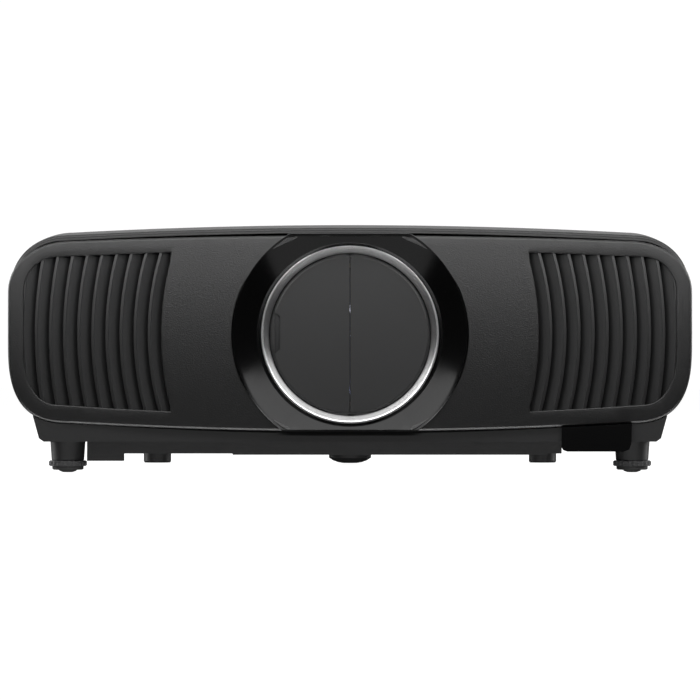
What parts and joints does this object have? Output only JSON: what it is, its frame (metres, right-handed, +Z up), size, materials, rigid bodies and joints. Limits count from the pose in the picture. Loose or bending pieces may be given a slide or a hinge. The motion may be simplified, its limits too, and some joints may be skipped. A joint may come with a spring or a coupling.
{
  "type": "home projector",
  "caption": "Ceiling or table projector with a sliding two-part lens shutter, louvred front vents, motorised lens shift, focus and zoom, fans and adjustable feet.",
  "frame": {"origin": "centre of the footprint, on the surface the feet stand on", "axes": "front with the lens faces -Y, +X to the right seen from the front, +Z up"},
  "size_m": [0.52, 0.447, 0.193],
  "materials": {
    "case_plastic": "fine leather-like moulded grain, satin",
    "pan_plastic": "fine matte grain",
    "grille_plastic": "smooth satin",
    "gloss_black": "polished",
    "satin_chrome": "turned satin chrome",
    "foot_rubber": "matte",
    "knob_plastic": "knurled",
    "inner_plastic": "glass-filled matte",
    "shutter_coat": "satin dark grey",
    "gear_plastic": "acetal",
    "steel": "plated",
    "die_cast": "die cast",
    "optical_glass": "coated",
    "copper_alloy": "coated housing",
    "phosphor": "phosphor coated disc",
    "fin_aluminium": "fins",
    "board": "solder mask",
    "button_plastic": "fine matte"
  },
  "bodies": {
    "case": {"front_bezel": "case_plastic", "top_cover": "case_plastic", "lower_case": "case_plastic", "rear_panel": "case_plastic", "base_pan": "pan_plastic", "left_grille": "grille_plastic", "right_grille": "grille_plastic", "lens_surround": "gloss_black", "trim_ring": "satin_chrome", "ir_window": "gloss_black", "rear_feet": "foot_rubber", "front_foot_sockets": "knob_plastic", "case_screws": "steel", "shutter_frame": "inner_plastic", "drive_motors": "steel", "lens_mount_frame": "die_cast", "prism_block": "optical_glass", "optics_base": "die_cast", "relay_lenses": "optical_glass", "laser_module": "copper_alloy", "heatsink": "fin_aluminium", "fan_frames": "inner_plastic", "power_board": "board", "main_board": "board", "rear_sockets": "steel", "ac_inlet": "gloss_black", "control_panel": "case_plastic"},
    "foot_l": {"foot_pad_left": "foot_rubber"},
    "foot_r": {"foot_pad_right": "foot_rubber"},
    "knob_l": {"foot_knob_left": "knob_plastic"},
    "knob_r": {"foot_knob_right": "knob_plastic"},
    "shutter_l": {"shutter_left": "shutter_coat"},
    "shutter_r": {"shutter_right": "shutter_coat"},
    "shutter_gear": {"shutter_pinion": "gear_plastic"},
    "v_stage": {"v_shift_plate": "die_cast", "h_shift_motor": "steel"},
    "h_stage": {"h_shift_plate": "die_cast", "lens_barrel": "inner_plastic", "rear_glass": "optical_glass", "lens_motors": "steel"},
    "v_screw": {"v_shift_screw": "steel"},
    "h_screw": {"h_shift_screw": "steel"},
    "focus_group": {"lens_cell": "inner_plastic", "front_glass": "optical_glass"},
    "focus_gear": {"focus_ring": "gear_plastic"},
    "focus_drive": {"focus_pinion": "gear_plastic"},
    "zoom_gear": {"zoom_ring": "gear_plastic"},
    "zoom_drive": {"zoom_pinion": "gear_plastic"},
    "colour_wheel": {"phosphor_wheel": "phosphor"},
    "intake_fan": {"intake_rotor": "inner_plastic"},
    "exhaust_fan": {"exhaust_rotor": "inner_plastic"},
    "filter": {"filter_drawer": "case_plastic"},
    "power_key": {"power_button": "button_plastic"},
    "menu_key": {"menu_button": "button_plastic"},
    "back_key": {"back_button": "button_plastic"},
    "enter_key": {"enter_button": "button_plastic"},
    "up_key": {"up_button": "button_plastic"},
    "down_key": {"down_button": "button_plastic"},
    "left_key": {"left_button": "button_plastic"},
    "right_key": {"right_button": "button_plastic"}
  },
  "joints": [
    {"name": "shutter_left_slide", "type": "slide", "parent": "case", "child": "shutter_l", "axis": [-1, 0, 0], "range_m": [0, 0.0625]},
    {"name": "shutter_right_slide", "type": "slide", "parent": "case", "child": "shutter_r", "axis": [1, 0, 0], "range_m": [0, 0.0625]},
    {"name": "shutter_pinion_spin", "type": "hinge", "parent": "case", "child": "shutter_gear", "pos_m": [0, -0.194, 0.035], "axis": [0, 1, 0], "range_deg": [-750, 5]},
    {"name": "lens_shift_vertical", "type": "slide", "parent": "case", "child": "v_stage", "axis": [0, 0, 1], "range_m": [-0.0089, 0.0089]},
    {"name": "v_shift_screw_spin", "type": "hinge", "parent": "case", "child": "v_screw", "pos_m": [0.09, -0.077, 0.1], "axis": [0, 0, 1], "range_deg": [-1605, 1605]},
    {"name": "lens_shift_horizontal", "type": "slide", "parent": "v_stage", "child": "h_stage", "axis": [1, 0, 0], "range_m": [-0.0077, 0.0077]},
    {"name": "h_shift_screw_spin", "type": "hinge", "parent": "v_stage", "child": "h_screw", "pos_m": [0, -0.07, 0.0534], "axis": [1, 0, 0], "range_deg": [-1390, 1390]},
    {"name": "focus_turn", "type": "hinge", "parent": "h_stage", "child": "focus_gear", "pos_m": [0, -0.174, 0.1054], "axis": [0, 1, 0], "range_deg": [-45, 45]},
    {"name": "focus_pinion_spin", "type": "hinge", "parent": "h_stage", "child": "focus_drive", "pos_m": [0.0425, -0.175, 0.1479], "axis": [0, 1, 0], "range_deg": [-406, 406]},
    {"name": "focus_group_slide", "type": "slide", "parent": "h_stage", "child": "focus_group", "axis": [0, -1, 0], "range_m": [-0.0031, 0.0031]},
    {"name": "zoom_turn", "type": "hinge", "parent": "h_stage", "child": "zoom_gear", "pos_m": [0, -0.144, 0.1054], "axis": [0, 1, 0], "range_deg": [-35, 35]},
    {"name": "zoom_pinion_spin", "type": "hinge", "parent": "h_stage", "child": "zoom_drive", "pos_m": [-0.0425, -0.145, 0.1479], "axis": [0, 1, 0], "range_deg": [-316, 316]},
    {"name": "colour_wheel_spin", "type": "hinge", "parent": "case", "child": "colour_wheel", "pos_m": [0.088, 0.0408, 0.1204], "axis": [0, 1, 0], "continuous": true},
    {"name": "intake_fan_spin", "type": "hinge", "parent": "case", "child": "intake_fan", "pos_m": [-0.192, -0.183, 0.107], "axis": [0, 1, 0], "continuous": true},
    {"name": "exhaust_fan_spin", "type": "hinge", "parent": "case", "child": "exhaust_fan", "pos_m": [0.192, -0.183, 0.107], "axis": [0, 1, 0], "continuous": true},
    {"name": "foot_left_extend", "type": "slide", "parent": "case", "child": "foot_l", "axis": [0, 0, -1], "range_m": [0, 0.024]},
    {"name": "foot_right_extend", "type": "slide", "parent": "case", "child": "foot_r", "axis": [0, 0, -1], "range_m": [0, 0.024]},
    {"name": "foot_left_turn", "type": "hinge", "parent": "foot_l", "child": "knob_l", "pos_m": [-0.2165, -0.173, 0.007], "axis": [0, 0, 1], "range_deg": [-5800, 10]},
    {"name": "foot_right_turn", "type": "hinge", "parent": "foot_r", "child": "knob_r", "pos_m": [0.2165, -0.173, 0.007], "axis": [0, 0, 1], "range_deg": [-5800, 10]},
    {"name": "filter_pull", "type": "slide", "parent": "case", "child": "filter", "axis": [-1, 0, 0], "range_m": [0, 0.05]},
    {"name": "power_press", "type": "slide", "parent": "case", "child": "power_key", "axis": [-1, 0, 0], "range_m": [0, 0.0008], "stiffness_N_per_m": 400},
    {"name": "menu_press", "type": "slide", "parent": "case", "child": "menu_key", "axis": [-1, 0, 0], "range_m": [0, 0.0008], "stiffness_N_per_m": 400},
    {"name": "back_press", "type": "slide", "parent": "case", "child": "back_key", "axis": [-1, 0, 0], "range_m": [0, 0.0008], "stiffness_N_per_m": 400},
    {"name": "enter_press", "type": "slide", "parent": "case", "child": "enter_key", "axis": [-1, 0, 0], "range_m": [0, 0.0008], "stiffness_N_per_m": 400},
    {"name": "up_press", "type": "slide", "parent": "case", "child": "up_key", "axis": [-1, 0, 0], "range_m": [0, 0.0008], "stiffness_N_per_m": 400},
    {"name": "down_press", "type": "slide", "parent": "case", "child": "down_key", "axis": [-1, 0, 0], "range_m": [0, 0.0008], "stiffness_N_per_m": 400},
    {"name": "left_press", "type": "slide", "parent": "case", "child": "left_key", "axis": [-1, 0, 0], "range_m": [0, 0.0008], "stiffness_N_per_m": 400},
    {"name": "right_press", "type": "slide", "parent": "case", "child": "right_key", "axis": [-1, 0, 0], "range_m": [0, 0.0008], "stiffness_N_per_m": 400}
  ],
  "couplings": [
    {"joint": "shutter_right_slide", "follows": "shutter_left_slide", "ratio": 1},
    {"joint": "shutter_pinion_spin", "follows": "shutter_left_slide", "rad_per_m": -208.33},
    {"joint": "v_shift_screw_spin", "follows": "lens_shift_vertical", "rad_per_m": 3141.6},
    {"joint": "h_shift_screw_spin", "follows": "lens_shift_horizontal", "rad_per_m": 3141.6},
    {"joint": "focus_pinion_spin", "follows": "focus_turn", "ratio": -9},
    {"joint": "focus_group_slide", "follows": "focus_turn", "m_per_rad": 0.00382},
    {"joint": "zoom_pinion_spin", "follows": "zoom_turn", "ratio": -9},
    {"joint": "foot_left_turn", "follows": "foot_left_extend", "rad_per_m": -4188.8},
    {"joint": "foot_right_turn", "follows": "foot_right_extend", "rad_per_m": -4188.8}
  ]
}
